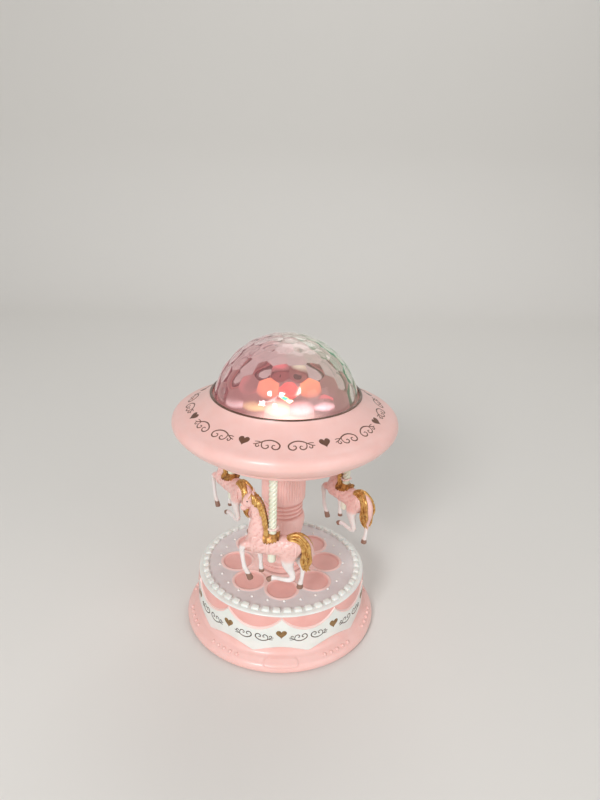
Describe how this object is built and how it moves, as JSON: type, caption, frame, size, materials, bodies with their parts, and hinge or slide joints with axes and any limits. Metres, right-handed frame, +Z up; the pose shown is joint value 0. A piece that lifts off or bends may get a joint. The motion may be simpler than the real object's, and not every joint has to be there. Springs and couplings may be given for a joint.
{
  "type": "carousel music box",
  "caption": "Wind-up music box: round drum base, fluted turning column, lamp roof with a faceted clear dome, and horses hanging on twisted poles.",
  "frame": {"origin": "middle of the feet, on the table", "axes": "+Z up along the spindle; -Y is the front, where the plaque is"},
  "size_m": [0.1206, 0.1206, 0.1709],
  "materials": {
    "pearl_pink": "pearl pink moulded resin, painted and lacquered",
    "deck_grey": "pale grey painted resin with pink petals",
    "white_plastic": "plain white moulding, fine satin",
    "foot_rubber": "black rubber pads",
    "zinc_steel": "zinc-plated steel",
    "nickel": "nickel-plated steel, polished",
    "brass": "turned brass",
    "spring_steel": "ground spring steel",
    "cast_block": "die-cast block",
    "fly_plastic": "ivory moulding",
    "ring_brown": "dark brown painted trim",
    "clear_dome": "clear faceted acrylic",
    "lamp_white": "white reflector",
    "board_green": "green circuit board lacquer",
    "lens_warm": "frosted lamp lens",
    "cell_skin": "plain battery sleeve",
    "wire_red": "insulated lead",
    "pole_ivory": "ivory lacquer",
    "horse_paint": "hand-painted resin: pink, white, brown and gold"
  },
  "bodies": {
    "base": {"base_shell": "pearl_pink", "deck_plate": "deck_grey", "bottom_cover": "white_plastic", "rubber_feet": "foot_rubber", "cover_screws": "zinc_steel", "arbor_bush": "brass", "movement_bedplate": "zinc_steel", "bedplate_screws": "zinc_steel", "cylinder_brackets": "zinc_steel", "comb": "spring_steel", "comb_stand": "cast_block", "comb_screws": "zinc_steel", "governor_frame": "zinc_steel", "spindle_bush": "brass"},
    "carousel": {"spring_barrel": "brass", "spindle": "spring_steel", "column_foot": "pearl_pink", "column_left_half": "pearl_pink", "column_right_half": "pearl_pink", "spindle_nut": "zinc_steel", "roof_lower_bowl": "pearl_pink", "roof_upper_shell": "pearl_pink", "roof_screws": "zinc_steel", "dome_ring": "ring_brown", "dome": "clear_dome", "lamp_plate": "lamp_white", "lamp_board": "board_green", "lamp_lenses": "lens_warm", "battery_tray": "white_plastic", "battery_cells": "cell_skin", "battery_contacts": "nickel", "battery_door": "pearl_pink", "door_screw": "zinc_steel", "switch_body": "zinc_steel", "lamp_wires": "wire_red"},
    "key": {"winding_key": "nickel", "key_arbor": "spring_steel"},
    "cylinder": {"music_cylinder": "brass"},
    "idler": {"governor_wheel": "brass"},
    "fly": {"governor_fly": "fly_plastic"},
    "switch": {"switch_knob": "white_plastic"},
    "front_horse": {"horse_front": "horse_paint", "pole_front": "pole_ivory", "pole_clip_front": "spring_steel"},
    "right_horse": {"horse_right": "horse_paint", "pole_right": "pole_ivory", "pole_clip_right": "spring_steel"},
    "left_horse": {"horse_left": "horse_paint", "pole_left": "pole_ivory", "pole_clip_left": "spring_steel"}
  },
  "joints": [
    {"name": "carousel_turn", "type": "hinge", "parent": "base", "child": "carousel", "pos_m": [0, 0, 0], "axis": [0, 0, 1], "continuous": true},
    {"name": "key_turn", "type": "hinge", "parent": "base", "child": "key", "pos_m": [0, 0, 0], "axis": [0, 0, 1], "continuous": true},
    {"name": "cylinder_turn", "type": "hinge", "parent": "base", "child": "cylinder", "pos_m": [0, 0, 0.02405], "axis": [1, 0, 0], "continuous": true},
    {"name": "governor_wheel_turn", "type": "hinge", "parent": "base", "child": "idler", "pos_m": [-0.02142, 0, 0], "axis": [0, 0, 1], "continuous": true},
    {"name": "fly_turn", "type": "hinge", "parent": "base", "child": "fly", "pos_m": [-0.02927, 0, 0.0198], "axis": [0, 1, 0], "continuous": true},
    {"name": "lamp_switch", "type": "slide", "parent": "carousel", "child": "switch", "axis": [-0.9885, 0.1513, 0], "range_m": [0, 0.004]},
    {"name": "swivel_front", "type": "hinge", "parent": "carousel", "child": "front_horse", "pos_m": [-0.00598, -0.03905, 0], "axis": [0, 0, 1], "continuous": true},
    {"name": "swivel_right", "type": "hinge", "parent": "carousel", "child": "right_horse", "pos_m": [0.0368, 0.01435, 0], "axis": [0, 0, 1], "continuous": true},
    {"name": "swivel_left", "type": "hinge", "parent": "carousel", "child": "left_horse", "pos_m": [-0.03083, 0.0247, 0], "axis": [0, 0, 1], "continuous": true}
  ],
  "couplings": [
    {"joint": "cylinder_turn", "follows": "carousel_turn", "ratio": 2.5},
    {"joint": "governor_wheel_turn", "follows": "carousel_turn", "ratio": -4.8},
    {"joint": "fly_turn", "follows": "carousel_turn", "ratio": 115.2}
  ]
}
